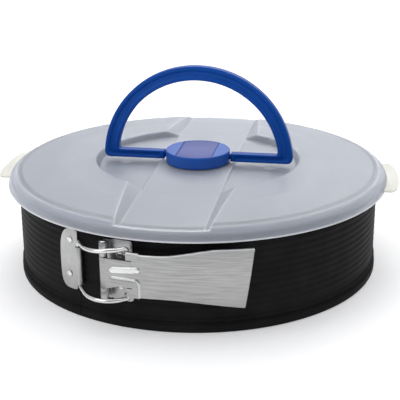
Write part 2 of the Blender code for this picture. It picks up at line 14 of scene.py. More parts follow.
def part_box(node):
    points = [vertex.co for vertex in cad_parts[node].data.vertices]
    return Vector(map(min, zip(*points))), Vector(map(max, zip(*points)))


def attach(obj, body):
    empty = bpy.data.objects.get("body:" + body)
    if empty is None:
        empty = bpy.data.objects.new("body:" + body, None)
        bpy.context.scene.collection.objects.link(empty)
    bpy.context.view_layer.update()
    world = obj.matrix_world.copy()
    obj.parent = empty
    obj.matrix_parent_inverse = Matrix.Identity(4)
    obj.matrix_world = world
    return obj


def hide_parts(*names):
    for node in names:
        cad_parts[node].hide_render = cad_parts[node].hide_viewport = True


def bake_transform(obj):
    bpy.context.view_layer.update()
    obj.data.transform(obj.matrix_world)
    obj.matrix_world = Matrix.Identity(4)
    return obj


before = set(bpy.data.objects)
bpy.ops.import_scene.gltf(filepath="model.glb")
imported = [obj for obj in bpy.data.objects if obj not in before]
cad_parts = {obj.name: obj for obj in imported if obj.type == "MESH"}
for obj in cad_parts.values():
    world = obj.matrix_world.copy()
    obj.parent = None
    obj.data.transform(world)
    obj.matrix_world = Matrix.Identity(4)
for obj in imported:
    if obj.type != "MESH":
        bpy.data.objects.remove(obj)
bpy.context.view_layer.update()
scene = bpy.context.scene

MM = 0.001
GAP = 0.3 * MM  # clearance between neighbouring pieces
UP = Vector((0.0, 0.0, 1.0))

# Band: one strip of ribbed sheet, open at the seam and held by the latch
SHEET = 0.8 * MM
WALL_R = 129.9 * MM  # outer radius of the wall, at the top of its ribs
RING_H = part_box("ring_left_half")[1].z
BEAD_R = 1.3 * MM  # rolled top rim
CHANNEL_R = 131.1 * MM  # outermost radius, at the bottom channel
SEAM_AZ = radians(-26.3)
SEAM_GAP = 0.5 * MM
LIP, LIP_OUT = 1.2 * MM, 0.2 * MM  # the sheet's ends at the seam stand out a little,
LIP_LOW = 1.2 * MM  # but not below this height
FLAP_AZ = radians(8.0)  # how far the inner flap reaches past the seam
FLAP_LOW, FLAP_HIGH, FLAP_T = 9.5 * MM, 61.5 * MM, 0.7 * MM
RIB_PITCH = 4.45 * MM
RIB_COUNT = 10
RIB_FIRST = 16.2 * MM  # height of the lowest rib's crest
RIB_DEPTH = 0.42 * MM

# Base plate
BASE_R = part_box("base_plate")[1].x
BASE_FLAT_R = 120.5 * MM
BASE_EDGE_Z = 3.6 * MM  # top of its upturned edge
PRESSED_R, PRESSED_W = 97.0 * MM, 4.0 * MM  # ring pressed into the cooking surface

# Latch
LATCH_Z = 39.3 * MM  # mid height of keeper, bracket and pin
BLADE_Z = 40.5 * MM  # mid height of the lever's blade
WIRE_Z = 40.0 * MM  # mid height of the wire
PIVOT_AZ, PIVOT_R = radians(-15.7), 136.4 * MM
KEEP_AZ, KEEP_R = radians(-25.1), 132.6 * MM  # where the wire turns in the keeper
WIRE_AZ, WIRE_R = radians(-8.7), 136.5 * MM  # where its ends meet the lever's ears
WIRE = 1.4 * MM  # radius of the wire
PIN = 1.4 * MM  # radius of the hinge pin
KNUCKLE = 2.6 * MM  # outer radius of the hinge knuckles
KNUCKLE_FAR = 19.9 * MM  # their outer ends, from LATCH_Z
CURL_T = KNUCKLE - PIN - GAP  # thickness of the knuckles' rolled sheet
CURL_R = KNUCKLE - CURL_T / 2
LEVER_T = 1.0 * MM
LEVER_END_AZ, LEVER_END_R = radians(22.7), 142.4 * MM
TONGUE_HALF = 10.4 * MM
NECK_HALF = 14.6 * MM
PADDLE_HALF = 19.8 * MM
# The wire's arms from keeper to lever, radius in mm and azimuth in degrees. Then, for the arm
# above WIRE_Z (1) and the one below (-1), its distance from it at the keeper and at the ears
ARM_PLAN = [(132.6, -25.1), (137.6, -22.3), (142.2, -19.6), (144.8, -17.0), (145.3, -14.6),
            (144.3, -12.6), (141.6, -10.8), (138.6, -9.6), (136.5, -8.7)]
ARMS = {1: (14.0 * MM, 17.5 * MM), -1: (17.2 * MM, 16.2 * MM)}
PLATE_R = 130.65 * MM  # middle of the riveted plates' thickness
PLATE_T = 0.9 * MM
RIVET_SHANK, RIVET_HEAD, HEAD_T = 1.5 * MM, 2.1 * MM, 0.6 * MM
KEEPER_AZ = radians(-28.9)
KEEPER_HALF, KEEPER_REACH = 21.0 * MM, 11.7 * MM  # half height, and width of its round side
CURL_LOW, CURL_HIGH = -15.0 * MM, 11.0 * MM  # ends of the keeper's curl, from LATCH_Z
BRACKET_LOW, BRACKET_HIGH = -20.5 * MM, 20.8 * MM  # from LATCH_Z
BRACKET_END_AZ = radians(-8.2)
KEEPER_RIVETS = {"upper": (KEEPER_AZ, 52.7 * MM), "lower": (radians(-29.6), 28.7 * MM)}
BRACKET_RIVETS = {"upper": (radians(-12.0), 50.3 * MM), "lower": (radians(-12.0), 28.3 * MM)}

# Lid
LID_T = 1.0 * MM
LID_HOLE_R = 8.0 * MM
RECESS_Z = 71.4 * MM
# Radius and height of its top surface in mm, from the hole to the lower edge of the skirt
LID_PROFILE = [(8.0, 71.4), (71.5, 71.4), (74.0, 76.8), (100.0, 76.1), (127.0, 73.3),
               (131.2, 72.2), (134.0, 70.5), (136.0, 68.4), (137.2, 63.55)]
RECESS_R = 74.0 * MM
STRAP_HALF = 26.5 * MM  # half width of the flat strap across the lid
STRAP_FOOT = 28.0 * MM  # half width at its foot, inside the recess
STRAP_Z = 72.8 * MM  # its height at the middle
STRAP_DROP = 0.156  # its fall in metres, per square metre of distance from the middle
STRAP_END_R = 134.1 * MM
BEAD_RISE = 0.35 * MM  # fine bead along the strap's end
SHOULDER_NEAR, SHOULDER_FAR = 36.0 * MM, 29.6 * MM  # half width of the trough round the strap
TAB_R, TAB_ROOT_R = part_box("lid")[1].x, 136.6 * MM
TAB_AZ, TAB_SHORT_AZ = radians(15.2), radians(-11.2)  # where a tab ends
TAB_Z, TAB_T = 65.4 * MM, 1.3 * MM
PIP_AT, PIP_R, PIP_RISE = (53.0 * MM, -4.5 * MM), 4.0 * MM, 0.5 * MM

# Hub and handle
HUB_R, HUB_TOP = 23.3 * MM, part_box("hub_cap")[1].z
HUB_BOTTOM = STRAP_Z + GAP
CAP_HALF, CAP_FLOOR, CAP_GAP, CAP_RIM = 12.9 * MM, 79.4 * MM, 0.4 * MM, 1.1 * MM
SCREW_R, SCREW_HEAD_Z = 2.0 * MM, 76.0 * MM
SCREW_HEAD_R, SCREW_HEAD_T, SCREW_WELL_R = 4.0 * MM, 2.4 * MM, 4.4 * MM
SCREW_END_Z = 68.4 * MM
RETAINER_R, RETAINER_T, RETAINER_EDGE = 14.0 * MM, 2.2 * MM, 2.0 * MM
RETAINER_TOP = STRAP_Z - LID_T - 2 * GAP
AXIS_Z = 77.3 * MM  # height of the handle's pivot axis
BOW_Z, BOW_OUT, BOW_IN = 73.9 * MM, 69.6 * MM, 59.4 * MM
HANDLE_T = 7.0 * MM
BAR_HALF, BAR_END = 3.0 * MM, 24.5 * MM
CORNER_X, CORNER_R = 65.7 * MM, 3.6 * MM
TRUNNION = 2.0 * MM


# ---- places and outlines

def polar(radius, azimuth, z=0.0):
    return Vector((radius * sin(azimuth), -radius * cos(azimuth), z))


def outward(azimuth):
    return polar(1.0, azimuth)


def wall_frame(azimuth, z):
    """Local X along the wall, local Y up, local Z outward from the pan's axis."""
    along = Vector((cos(azimuth), sin(azimuth), 0.0))
    matrix = Matrix((along, UP, outward(azimuth))).transposed()
    return Matrix.Translation(UP * z) @ matrix.to_4x4()


def clamp(value, low=0.0, high=1.0):
    return min(max(value, low), high)


def smooth(value):
    value = clamp(value)
    return value * value * (3 - 2 * value)


def mix(first, second, share):
    return first + (second - first) * share


def spread(start, end, count):
    """count + 1 evenly spaced values."""
    return [mix(start, end, i / count) for i in range(count + 1)]


def arc(radius, start_deg, end_deg, count, center=(0.0, 0.0)):
    """Points on an arc, angles counter-clockwise from the first axis."""
    angles = [radians(angle) for angle in spread(start_deg, end_deg, count)]
    return [(center[0] + radius * cos(angle), center[1] + radius * sin(angle))
            for angle in angles]


def rounded(points, ease, steps=3, closed=True):
    """The outline with each corner off the axis eased by a short curve."""
    result = []
    last = len(points) - 1
    for i, point in enumerate(points):
        corner = Vector(point)
        open_end = not closed and i in (0, last)
        if open_end or abs(corner.x) < 1e-9:
            result.append(corner)
            continue
        before = Vector(points[i - 1]) - corner
        after = Vector(points[(i + 1) % len(points)]) - corner
        start = corner + before.normalized() * min(ease, before.length * 0.45)
        end = corner + after.normalized() * min(ease, after.length * 0.45)
        for t in spread(0.0, 1.0, steps):
            result.append(start * (1 - t) ** 2 + corner * 2 * t * (1 - t) + end * t * t)
    return result


def inset(points, distance):
    """An open line moved sideways to its right by a distance."""
    lines = []
    for first, second in zip(points, points[1:]):
        first, second = Vector(first), Vector(second)
        run = (second - first).normalized()
        side = Vector((run.y, -run.x)) * distance
        lines.append((first + side, second + side))
    result = [lines[0][0]]
    for (a, b), (c, d) in zip(lines, lines[1:]):
        u, v = b - a, d - c
        turn = u.cross(v)
        straight = abs(turn) < 1e-6 * u.length * v.length
        result.append(b if straight else a + u * ((c - a).cross(v) / turn))
    return result + [lines[-1][1]]


def resampled(points, count):
    """count + 1 points at even steps of length along a line."""
    points = [Vector(point) for point in points]
    lengths = [(b - a).length for a, b in zip(points, points[1:])]
    result = []
    for goal in spread(0.0, sum(lengths), count):
        i = 0
        while i < len(lengths) - 1 and goal > lengths[i]:
            goal -= lengths[i]
            i += 1
        result.append(points[i].lerp(points[i + 1], min(goal / lengths[i], 1.0)))
    return result


def through(points, steps):
    """A smooth curve through the points, as a list of points."""
    points = [Vector(point) for point in points]
    padded = [2 * points[0] - points[1]] + points + [2 * points[-1] - points[-2]]
    result = []
    for a, b, c, d in zip(padded, padded[1:], padded[2:], padded[3:]):
        for t in spread(0.0, 1.0, steps)[:-1]:
            result.append(0.5 * (2 * b + (c - a) * t + (2 * a - 5 * b + 4 * c - d) * t * t
                                 + (3 * b - a - 3 * c + d) * t ** 3))
    return result + [points[-1]]


# ---- meshes

def new_object(name, data):
    obj = bpy.data.objects.new(name, data)
    scene.collection.objects.link(obj)
    return obj


def mesh_object(name, bm):
    mesh = bpy.data.meshes.new(name)
    bm.to_mesh(mesh)
    bm.free()
    return new_object(name, mesh)


def object_from(bm, name):
    bmesh.ops.remove_doubles(bm, verts=bm.verts, dist=1e-7)
    bmesh.ops.recalc_face_normals(bm, faces=bm.faces)
    return mesh_object(name, bm)


def skin(bm, loops, closed=False):
    """Faces between neighbouring loops of vertices, with the end loops joined or capped."""
    pairs = list(zip(loops, loops[1:]))
    if closed:
        pairs.append((loops[-1], loops[0]))
    for one, two in pairs:
        for i in range(len(one)):
            j = (i + 1) % len(one)
            bm.faces.new((one[i], one[j], two[j], two[i]))
    if not closed:
        bm.faces.new(loops[0])
        bm.faces.new(loops[-1][::-1])


def loft(name, loops, closed=False):
    bm = bmesh.new()
    skin(bm, [[bm.verts.new(point) for point in loop] for loop in loops], closed)
    return object_from(bm, name)


def swept(name, outline, azimuths, closed):
    """A closed outline of (radius, z) carried round Z through the azimuths."""
    return loft(name, [[polar(radius, azimuth, z) for radius, z in outline]
                       for azimuth in azimuths], closed)


def turned(name, outline, steps=128, ease=0.0):
    if ease:
        outline = rounded(outline, ease)
    return swept(name, outline, spread(0.0, tau, steps)[:-1], closed=True)


def prism(name, outline, low, high, matrix=Matrix.Identity(4), ease=0.0):
    """A flat outline in local X and Y, extruded along local Z."""
    obj = loft(name, [[matrix @ Vector((u, v, w)) for u, v in outline] for w in (low, high)])
    if ease:
        add_bevel(obj, ease)
    return obj


def add_bevel(obj, width):
    bevel = obj.modifiers.new("Ease", "BEVEL")
    bevel.width = width
    bevel.segments = 2
    bevel.limit_method = "ANGLE"
    bevel.angle_limit = radians(60)


def sheet_from(bm, name, thickness, ease):
    """Sheet metal about a surface, with eased edges."""
    obj = object_from(bm, name)
    sheet = obj.modifiers.new("Sheet", "SOLIDIFY")
    sheet.thickness = thickness
    sheet.offset = 0.0
    sheet.use_even_offset = True
    add_bevel(obj, ease)
    return obj


def slice_mesh(bm, spot, normal, reach):
    """Cut every face that a plane crosses, and keep both sides."""
    geometry = bm.verts[:] + bm.edges[:] + bm.faces[:]
    bmesh.ops.bisect_plane(bm, geom=geometry, dist=reach, plane_co=spot, plane_no=normal)


def mark_all(obj, name, value):
    """Give every point of a part the same value of an attribute."""
    mark = obj.data.attributes.new(name, "FLOAT", "POINT")
    mark.data.foreach_set("value", [value] * len(obj.data.vertices))


def bent_plate(name, outline, azimuth):
    """Riveted plate of a flat outline about LATCH_Z, bent round the band at PLATE_R."""
    bm = bmesh.new()
    bm.faces.new([bm.verts.new((u, v, 0.0)) for u, v in outline])
    left, right = min(u for u, _ in outline), max(u for u, _ in outline)
    strips = max(int((right - left) / (1.5 * MM)), 1)
    for u in spread(left, right, strips)[1:-1]:
        slice_mesh(bm, (u, 0, 0), (1, 0, 0), 1e-7)
    for vert in bm.verts:
        vert.co = polar(PLATE_R, azimuth + vert.co.x / PLATE_R, LATCH_Z + vert.co.y)
    return sheet_from(bm, name, PLATE_T, 0.22 * MM)


def rod(name, radius, start, end, ease=0.0):
    start, end = Vector(start), Vector(end)
    run = end - start
    turn = run.to_track_quat("Z", "Y").to_matrix().to_4x4()
    outline = [(0.0, run.length), (radius, run.length), (radius, 0.0), (0.0, 0.0)]
    obj = turned(name, outline, 40, ease)
    obj.data.transform(Matrix.Translation(start) @ turn)
    return obj


def ribbon(name, line, thickness, low, high, azimuth, radius):
    """A strip of sheet along a line seen from above, between two heights from LATCH_Z."""
    left, right = inset(line, -thickness / 2), inset(line, thickness / 2)
    turn = Matrix.Translation(polar(radius, azimuth)) @ Matrix.Rotation(azimuth, 4, "Z")
    outline = [(p.x, -p.y) for p in left + right[::-1]]
    return prism(name, outline, LATCH_Z + low, LATCH_Z + high, turn, 0.15 * MM)


def joined(name, parts, material, cutters=(), angle=35.0):
    """One piece made of the finished meshes of its parts, which go with their cutters."""
    bpy.context.view_layer.update()
    depsgraph = bpy.context.evaluated_depsgraph_get()
    bm = bmesh.new()
    for part in parts:
        mesh = bpy.data.meshes.new_from_object(part.evaluated_get(depsgraph))
        mesh.transform(part.matrix_world)
        bm.from_mesh(mesh)
        bpy.data.meshes.remove(mesh)
    for part in [*parts, *cutters]:
        bpy.data.objects.remove(part, do_unlink=True)
    piece = mesh_object(name, bm)
    piece.data.materials.append(material)
    piece.data.shade_smooth()
    piece.data.set_sharp_from_angle(angle=radians(angle))
    return piece


def cut(obj, cutter):
    boolean = obj.modifiers.new("Cut", "BOOLEAN")
    boolean.object = cutter
    return cutter


def place(piece, body, node):
    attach(piece, body)
    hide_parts(node)


# ---- materials

def set_sockets(node, **sockets):
    """Give sockets a value each, or a link from another node. Underscores stand for spaces."""
    for name, value in sockets.items():
        socket = node.inputs[name.replace("_", " ")]
        if isinstance(value, bpy.types.NodeSocket):
            node.id_data.links.new(value, socket)
        else:
            socket.default_value = value


def add_node(tree, kind, **sockets):
    node = tree.nodes.new("ShaderNode" + kind)
    set_sockets(node, **sockets)
    return node


def noise_node(tree, scale, detail, stretch=(1.0, 1.0, 1.0)):
    """Noise in the piece's own coordinates; scale is in cycles per metre."""
    coords = add_node(tree, "TexCoord")
    mapping = add_node(tree, "Mapping", Vector=coords.outputs["Object"], Scale=stretch)
    noise = add_node(tree, "TexNoise", Vector=mapping.outputs["Vector"], Scale=scale,
                     Detail=detail, Roughness=0.55)
    return noise.outputs["Fac"]


def ramp_node(tree, factor, low, high, start=0.3, end=0.7):
    ramp = add_node(tree, "ValToRGB", Fac=factor)
    first, last = ramp.color_ramp.elements
    first.position, last.position = start, end
    first.color, last.color = (*low, 1.0), (*high, 1.0)
    return ramp.outputs["Color"]


def range_node(tree, factor, low, high, start=0.3, end=0.7):
    remap = add_node(tree, "MapRange", Value=factor, From_Min=start, From_Max=end, To_Min=low,
                     To_Max=high)
    return remap.outputs["Result"]


def bump_node(tree, height, distance, **below):
    return add_node(tree, "Bump", Height=height, Strength=1.0, Distance=distance,
                    **below).outputs["Normal"]


def mix_node(tree, factor, first, second, blend_type="MIX"):
    blend = tree.nodes.new("ShaderNodeMix")
    blend.data_type = "RGBA"
    blend.blend_type = blend_type
    set_sockets(blend, Factor=factor, A=first, B=second)
    return blend.outputs["Result"]


def new_material(name):
    material = bpy.data.materials.new(name)
    material.use_nodes = True
    return material, material.node_tree, material.node_tree.nodes["Principled BSDF"]


def finish(name, colors, roughness, grain, patches=60.0, stretch=(1.0, 1.0, 1.0), swell=None,
           **constants):
    """A Principled material: colour and roughness vary in patches, and a fine grain is bumped.

    grain and swell are (cycles per metre, height in metres) of two layers of bump.
    """
    material, tree, shader = new_material(name)
    cloud = noise_node(tree, patches, 4.0, stretch)
    fine = noise_node(tree, grain[0], 3.0, stretch)
    normal = bump_node(tree, fine, grain[1])
    if swell:
        normal = bump_node(tree, noise_node(tree, swell[0], 2.0), swell[1], Normal=normal)
    set_sockets(shader, Base_Color=ramp_node(tree, cloud, *colors),
                Roughness=range_node(tree, fine, *roughness), Normal=normal, **constants)
    return material


def blend_colour(material, share, color):
    """Blend the base colour towards another one by an attribute of the mesh."""
    tree = material.node_tree
    attribute = tree.nodes.new("ShaderNodeAttribute")
    attribute.attribute_name = share
    base = tree.nodes["Principled BSDF"].inputs["Base Color"]
    plain = base.links[0].from_socket
    tree.links.new(mix_node(tree, attribute.outputs["Fac"], plain, (*color, 1.0)), base)
    return attribute.outputs["Fac"]


NONSTICK = finish("nonstick_coating", ((0.0115, 0.0115, 0.0117), (0.0165, 0.0165, 0.0167)),
                  (0.42, 0.52), (2600.0, 0.012 * MM), swell=(160.0, 0.03 * MM),
                  Specular_IOR_Level=0.02)
PRESSED = finish("pressed_zinc_plate", ((0.40, 0.40, 0.397), (0.48, 0.48, 0.475)), (0.32, 0.44),
                 (500.0, 0.006 * MM), patches=90.0, Metallic=1.0)
RIVET = finish("rivet_steel", ((0.62, 0.62, 0.61), (0.78, 0.78, 0.77)), (0.14, 0.24),
               (900.0, 0.006 * MM), patches=300.0, Metallic=1.0)
BRIGHT = finish("bright_drawn_wire", ((0.60, 0.60, 0.59), (0.76, 0.76, 0.75)), (0.10, 0.20),
                (700.0, 0.006 * MM), patches=200.0, Metallic=1.0)
MOULD_SWELL = (120.0, 0.05 * MM)
BLUE = finish("blue_moulded_plastic", ((0.0, 0.060, 0.33), (0.0008, 0.072, 0.38)),
              (0.36, 0.46), (2200.0, 0.012 * MM), swell=MOULD_SWELL, Specular_IOR_Level=0.18)
# painted light: a lighter copy of the handle's blue plastic, for the light that falls on the hub's
# side
HUB_BLUE_PAINTED_LIGHTER = finish("blue_hub_plastic_painted_lighter", ((0.012, 0.092, 0.43), (0.017, 0.104, 0.48)),
                  (0.38, 0.48), (1800.0, 0.015 * MM), swell=MOULD_SWELL, Specular_IOR_Level=0.36)
# partly painted reflection: the cap's blue is greyed towards lavender, its own tone plus a painted
# reflection of the white above its top
CAP_BLUE_PAINTED_SHEEN = finish("blue_matte_cap_painted_sheen", ((0.042, 0.066, 0.29), (0.052, 0.076, 0.33)), (0.40, 0.50),
                  (1600.0, 0.02 * MM), swell=MOULD_SWELL, Specular_IOR_Level=0.42)


def milky_finish():
    """Translucent plastic with painted light: its tabs are painted lighter for the light coming
    through them and warmer in tone, and its creases and edges get painted highlights, whiter and
    less clear.
    """
    milky = finish("milky_plastic", ((0.76, 0.80, 0.87), (0.795, 0.83, 0.90)), (0.40, 0.50),
                   (1200.0, 0.01 * MM), patches=25.0, swell=(60.0, 0.06 * MM), IOR=1.4)
    # painted light on the tabs: lighter for the light that comes through them, and warmer in tone
    blend_colour(milky, "rim", (0.94, 0.93, 0.87))
    # painted highlights: the base colour goes to white along the creases, the edges and the bosses
    crease_highlight = blend_colour(milky, "crease_highlight", (1.0, 1.0, 1.0))
    tree = milky.node_tree
    # the painted highlights also make the plastic less clear, so they stay white over the dark pan
    set_sockets(tree.nodes["Principled BSDF"],
                Transmission_Weight=range_node(tree, crease_highlight, 0.76, 0.25, 0.0, 1.0))
    return milky


def brushed_finish():
    """Sheet with long fine brush lines, with painted highlights on the pill, the fold and the top
    edge.
    """
    brushed = finish("brushed_zinc_sheet", ((0.31, 0.31, 0.308), (0.44, 0.44, 0.436)),
                     (0.28, 0.44), (75.0, 0.010 * MM), stretch=(1.0, 1.0, 26.0), Metallic=1.0)
    # painted highlights: the base colour goes to near white on the pill, the fold line and the top
    # edge
    blend_colour(brushed, "painted_highlight", (0.82, 0.82, 0.81))
    return brushed


MILKY = milky_finish()
BRUSHED = brushed_finish()


# ---- band and base

def rib_depth(z):
    """How far the wall lies inside its crests at a height."""
    phase = (z - RIB_FIRST) / RIB_PITCH
    if phase < -0.5 or phase > RIB_COUNT - 0.5:
        return RIB_DEPTH
    return RIB_DEPTH * (0.5 - 0.5 * cos(tau * phase))


def wall_line(radius, low, high):
    return [(radius - rib_depth(z), z) for z in spread(low, high, 8 * RIB_COUNT + 8)]


def band_outline():
    wall_in = WALL_R - SHEET
    bead = (WALL_R - 0.2 * MM, RING_H - BEAD_R)
    low, high = 11.6 * MM, 63.2 * MM  # the plain wall, between the foot and the bead
    rim = arc(BEAD_R, 240.0, -70.0, 20, bead)
    foot = rounded([
        (WALL_R - RIB_DEPTH, 10.0 * MM), (WALL_R + 1.1 * MM, 8.5 * MM),
        (WALL_R - 1.1 * MM, 6.6 * MM), (WALL_R, 5.4 * MM), (CHANNEL_R, 4.6 * MM),
        (CHANNEL_R, 0.0), (WALL_R - 2.7 * MM, 0.0), (WALL_R - 2.7 * MM, 0.7 * MM),
        (CHANNEL_R - SHEET, 0.7 * MM), (CHANNEL_R - SHEET, 4.3 * MM),
        (wall_in - 1.2 * MM, 6.6 * MM), (wall_in - RIB_DEPTH / 2, 8.8 * MM),
    ], 0.7 * MM, steps=4, closed=False)
    outer = wall_line(WALL_R, low, high)[::-1]
    inner = wall_line(wall_in, low, high)
    return rim + outer + foot + inner


def sector(name, r_in, r_out, z_low, z_high, az_from, az_to, ease):
    """A piece of a ring between two azimuths, with rounded free corners."""
    outline = rounded([(r_in, z_low), (r_out, z_low), (r_out, z_high), (r_in, z_high)], ease)
    return swept(name, outline, spread(az_from, az_to, 24), closed=False)


def make_flap():
    """The tongue of the band that closes the gap behind the seam, slotted for the rivets."""
    inner = WALL_R - SHEET - RIB_DEPTH
    edge = SEAM_AZ + GAP / WALL_R
    flap = sector("flap", inner - FLAP_T - 0.1 * MM, inner - 0.1 * MM, FLAP_LOW, FLAP_HIGH,
                  SEAM_AZ - FLAP_AZ, edge + radians(3.0), 0.2 * MM)
    reach = RIVET_HEAD + 3 * GAP
    cutters = []
    for azimuth, z in KEEPER_RIVETS.values():
        slot = sector("slot", inner - 4 * FLAP_T, inner + FLAP_T, z - reach, z + reach,
                      SEAM_AZ - 1.3 * FLAP_AZ, azimuth + reach / inner, 0.1 * MM)
        cutters.append(cut(flap, slot))
    return [flap], cutters


def make_band(name, side, node):
    """Half of the band; side is +1 on the lever's side of the seam and -1 on the other."""
    edge = side * SEAM_GAP / 2 / WALL_R
    azimuths = spread(0.0, 1.0, 150)
    azimuths[1:1] = [LIP * step / WALL_R / pi for step in (0.3, 0.6, 1.0)]
    azimuths = [mix(SEAM_AZ + edge, SEAM_AZ + side * pi, share) for share in azimuths]
    wall = swept(name + "_wall", band_outline(), azimuths, closed=False)
    start = outward(SEAM_AZ + edge)
    for vert in wall.data.vertices:
        out = Vector((vert.co.x, vert.co.y, 0.0)).normalized()
        near = (out - start).length * WALL_R
        vert.co += out * LIP_OUT * smooth(1.0 - near / LIP) * (vert.co.z > LIP_LOW)
    flap, cutters = make_flap() if side > 0 else ([], [])
    band = joined(name, [wall, *flap], NONSTICK, cutters)
    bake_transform(band)
    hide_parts(node)


def make_pan_base():
    lift = SHEET / 2 + 2 * GAP
    outline = [(0.0, SHEET), (PRESSED_R - MM, SHEET), (PRESSED_R, SHEET + 0.3 * MM)]
    outline += [(PRESSED_R + PRESSED_W, SHEET + 0.3 * MM), (PRESSED_R + PRESSED_W + MM, SHEET)]
    outline += [(BASE_FLAT_R, SHEET), (BASE_FLAT_R + 2.5 * MM, lift + SHEET),
                (BASE_R - SHEET, lift + SHEET), (BASE_R - SHEET, BASE_EDGE_Z),
                (BASE_R, BASE_EDGE_Z), (BASE_R, lift), (BASE_FLAT_R + 2.8 * MM, lift),
                (BASE_FLAT_R + 0.3 * MM, 0.0), (0.0, 0.0)]
    base = turned("base_turning", outline, steps=240, ease=0.5 * MM)
    place(joined("pan_base", [base], NONSTICK), "base", "base_plate")


# ---- latch

def make_rivet(plate, level, spots, body):
    azimuth, z = spots[level]
    shell = PLATE_R + PLATE_T / 2
    inner_face = WALL_R - SHEET - 2 * GAP
    top = shell + GAP + HEAD_T
    dome = [(RIVET_HEAD * sin(t), mix(top, top - HEAD_T, 1 - cos(t)))
            for t in spread(0.35, pi / 2, 8)]
    outline = [(0.0, top - 0.25 * MM), (0.3 * RIVET_HEAD, top - 0.2 * MM)] + dome
    outline += [(RIVET_SHANK, shell + GAP), (RIVET_SHANK, inner_face), (RIVET_HEAD, inner_face),
                (RIVET_HEAD * 0.7, inner_face - HEAD_T * 0.6), (0.0, inner_face - HEAD_T * 0.6)]
    rivet = turned("rivet_turning", outline, steps=48)
    rivet.data.transform(wall_frame(azimuth, z))
    rivet = joined(f"{plate}_stud_{level}", [rivet], RIVET)
    place(rivet, body, f"{plate}_rivet_{level}")


def make_keeper():
    """D-shaped plate, its straight edge curled round the wire."""
    right = (KEEP_AZ - KEEPER_AZ) * PLATE_R - 0.6 * MM
    short = (SEAM_AZ - KEEPER_AZ) * PLATE_R
    edge = []
    for angle in spread(pi / 2, 1.5 * pi, 44):
        power = 2 / 2.6 if sin(angle) > 0 else 2 / 4.2  # squarer below
        across, up = cos(angle), sin(angle)
        edge.append((2.0 * MM - KEEPER_REACH * abs(across) ** power,
                     copysign(KEEPER_HALF * abs(up) ** power, up)))
    top = KEEPER_HALF - 0.6 * MM
    corner = rounded([edge[-1], (short - MM, -top), (short - MM, CURL_LOW - 0.8 * MM),
                      (right, CURL_LOW), (right, CURL_HIGH),
                      (short + 0.4 * MM, CURL_HIGH + 0.8 * MM), (short + 0.4 * MM, top),
                      edge[0]], 1.4 * MM, steps=5, closed=False)
    plate = bent_plate("keeper_plate_sheet", edge + corner[1:-1], KEEPER_AZ)
    thick = 0.6 * MM
    radius = WIRE + GAP + thick / 2
    line = [(-4.0 * MM, -radius), (-2.0 * MM, -radius)] + arc(radius, -90, 205, 28)
    curl = ribbon("keeper_curl", line, thick, CURL_LOW, CURL_HIGH, KEEP_AZ, KEEP_R)
    place(joined("keeper", [plate, curl], PRESSED), "ring_left", "keeper_plate")


def make_knuckles():
    """The bracket's two rolled knuckles, each on a leg from the plate."""
    leg = PLATE_R - PIVOT_R
    line = [(2.0 * MM, leg + 0.2 * MM), (0.0, leg + 0.2 * MM), (-CURL_R, leg + 1.4 * MM)]
    line += arc(CURL_R, 180, -120, 28)
    parts = []
    for side in (1, -1):
        ends = sorted((side * (TONGUE_HALF + GAP), side * KNUCKLE_FAR))
        parts.append(ribbon("knuckle", line, CURL_T, *ends, PIVOT_AZ, PIVOT_R))
    return parts


def make_bracket():
    left = -KNUCKLE
    right = (BRACKET_END_AZ - PIVOT_AZ) * PLATE_R
    slope, drop = 6.0 * MM, 4.5 * MM  # of its cut corners
    outline = rounded([(left, BRACKET_LOW + drop), (left + slope, BRACKET_LOW),
                       (right, BRACKET_LOW), (right, BRACKET_HIGH), (left + slope, BRACKET_HIGH),
                       (left, BRACKET_HIGH - drop)], 2.6 * MM, steps=6)
    plate = bent_plate("bracket_sheet", outline, PIVOT_AZ)
    bracket = joined("bracket", [plate] + make_knuckles(), PRESSED)
    place(bracket, "ring_right", "latch_bracket")


def make_pin():
    end = KNUCKLE_FAR + GAP
    head = [(PIN + 0.7 * MM, end), (PIN + 0.7 * MM, end + 0.3 * MM), (PIN, end + 0.8 * MM),
            (0.0, end + 0.8 * MM)]
    outline = [(r, -z) for r, z in head[::-1]] + [(PIN, -end), (PIN, end)] + head
    pin = turned("pin_turning", outline, steps=40, ease=0.2 * MM)
    pin.data.transform(Matrix.Translation(polar(PIVOT_R, PIVOT_AZ, LATCH_Z)))
    place(joined("pin", [pin], RIVET), "ring_right", "hinge_pin")


def blade_circle():
    """Centre, radius and length of the blade's middle surface, tangent at its knuckle."""
    start = polar(PIVOT_R + KNUCKLE - LEVER_T / 2, PIVOT_AZ)
    end = polar(LEVER_END_R, LEVER_END_AZ)
    normal = outward(PIVOT_AZ)
    radius = (end - start).length_squared / (2 * (start - end).dot(normal))
    length = 2 * radius * asin((end - start).length / (2 * radius))
    return start - normal * radius, radius, length


EARS_AT = 16.6 * MM  # along the blade, where the tongue widens into the ears
SLIT_END = 20.4 * MM  # end of the slits between tongue and ears
SLIT = 0.7 * MM
TIP_CORNER = 0.6 * MM
TIP_LEAN = 2.8 * MM  # the tip's upper corner reaches this much further than its middle
PADDLE_AT = 27.0 * MM  # along the blade, where the bow and the rolling lines start
ROLL_PITCH, ROLL_DEPTH = 1.25 * MM, 0.03 * MM
EAR_WIDTH, EAR_DEPTH = 4.4 * MM, 4.6 * MM
EAR_HALF = 13.7 * MM  # the folded ears stand this far above and below the blade's middle
BLADE_BOW = 0.7 * MM  # how far the blade's edges fall behind its middle
TONGUE_TAPER = 3.4 * MM  # how much the tongue's lower edge rises from pivot to ears
PILL_START, PILL_END = (7.4 * MM, 42.6 * MM), (23.8 * MM, 44.6 * MM)  # along and height
PILL_HALF, PILL_RISE = 2.1 * MM, 1.1 * MM
FOLD_Z, FOLD_AT = 37.6 * MM, 25.2 * MM  # the thin embossed line and where it turns down
FOLD_START, FOLD_LOW, FOLD_BEND = 7.0 * MM, 26.5 * MM, 3.0 * MM
